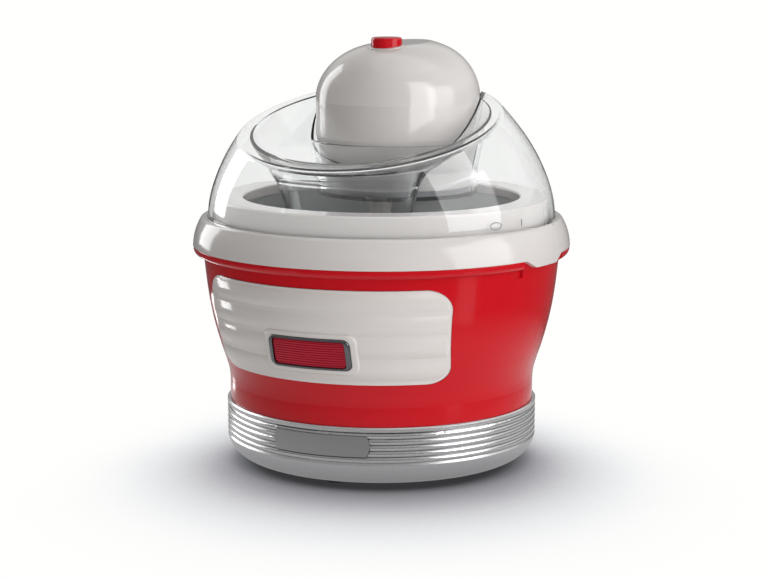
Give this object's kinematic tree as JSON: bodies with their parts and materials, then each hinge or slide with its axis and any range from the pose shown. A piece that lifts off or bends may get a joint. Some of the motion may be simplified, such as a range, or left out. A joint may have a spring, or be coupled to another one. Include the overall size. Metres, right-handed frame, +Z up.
{
  "type": "ice cream maker",
  "caption": "Tabletop electric ice cream maker: flared base holding a freezer bowl, collar, clear domed lid with feed chute, and a lift-out motor unit turning a paddle.",
  "frame": {"origin": "on the table, under the bowl's axis, at the centre of the collar", "axes": "+Z up, front panel and chute towards -Y, +X to the viewer's right from the front"},
  "size_m": [0.2352, 0.2352, 0.2644],
  "materials": {
    "white_shell": "smooth moulded ABS",
    "silver_ring": "satin silver paint on moulded ABS",
    "silver_plate": "flat satin plate",
    "red_body": "high-gloss red ABS",
    "red_badge": "gloss red, fine level ribs",
    "chrome_bezel": "bright plated",
    "clear_lid": "clear moulded styrene, polished",
    "bowl_metal": "drawn, satin",
    "bowl_white": "smooth moulded",
    "coolant": "gel",
    "paddle_white": "satin moulded acetal",
    "inner_grey": "plain moulded",
    "gear_white": "plain acetal",
    "steel": "turned or drawn steel",
    "red_button": "high-gloss red ABS",
    "black_rubber": "matt"
  },
  "bodies": {
    "casing": {"base_skirt": "silver_ring", "base_nameplate": "silver_plate", "base_plate": "inner_grey", "rubber_feet": "black_rubber", "base_screws": "steel", "body_shell": "red_body", "front_panel": "white_shell", "badge_bezel": "chrome_bezel", "badge_insert": "red_badge", "bowl_cradle": "inner_grey"},
    "freezer_bowl": {"bowl_jacket": "bowl_metal", "bowl_liner": "bowl_metal", "coolant_fill": "coolant", "bowl_rim": "bowl_white", "fill_plug": "black_rubber"},
    "collar": {"collar_ring": "white_shell"},
    "lid": {"lid_dome": "clear_lid"},
    "motor_unit": {"motor_cover": "white_shell", "motor_base": "inner_grey", "output_bush": "gear_white", "idler_pin": "steel", "motor_can": "steel", "motor_deck": "inner_grey", "deck_screws": "steel", "switch_bracket": "steel", "switch_body": "inner_grey", "button_ring": "white_shell", "lead_bush": "black_rubber"},
    "button": {"power_button": "red_button", "button_spring": "steel"},
    "rotor": {"rotor_shaft": "steel", "motor_pinion": "gear_white"},
    "idler": {"idler_gear": "gear_white"},
    "output": {"output_gear": "gear_white", "drive_shaft": "steel"},
    "paddle": {"paddle_frame": "paddle_white"}
  },
  "joints": [
    {"name": "bowl_lift", "type": "slide", "parent": "casing", "child": "freezer_bowl", "axis": [0, 0, 1], "range_m": [0, 0.14]},
    {"name": "collar_lift", "type": "slide", "parent": "freezer_bowl", "child": "collar", "axis": [0, 0, 1], "range_m": [0, 0.13]},
    {"name": "lid_twist", "type": "hinge", "parent": "collar", "child": "lid", "pos_m": [0, 0, 0.1547], "axis": [0, 0, 1], "range_deg": [0, 20]},
    {"name": "motor_lift", "type": "slide", "parent": "lid", "child": "motor_unit", "axis": [0, 0, 1], "range_m": [0, 0.1]},
    {"name": "paddle_spin", "type": "hinge", "parent": "lid", "child": "paddle", "pos_m": [0, 0, 0.168], "axis": [0, 0, 1], "continuous": true},
    {"name": "output_spin", "type": "hinge", "parent": "motor_unit", "child": "output", "pos_m": [0, 0, 0.176], "axis": [0, 0, 1], "continuous": true},
    {"name": "idler_spin", "type": "hinge", "parent": "motor_unit", "child": "idler", "pos_m": [0.0098, 0.023, 0.18], "axis": [0, 0, 1], "continuous": true},
    {"name": "rotor_spin", "type": "hinge", "parent": "motor_unit", "child": "rotor", "pos_m": [0, 0.04599, 0.2], "axis": [0, 0, 1], "continuous": true},
    {"name": "button_press", "type": "slide", "parent": "motor_unit", "child": "button", "axis": [0, 0, -1], "range_m": [0, 0.0025], "stiffness_N_per_m": 300, "springref_m": -0.001, "deforming": ["button_spring"]}
  ],
  "couplings": [
    {"joint": "output_spin", "follows": "paddle_spin", "ratio": 1},
    {"joint": "idler_spin", "follows": "paddle_spin", "ratio": -2.5714},
    {"joint": "rotor_spin", "follows": "paddle_spin", "ratio": 8.1429}
  ]
}
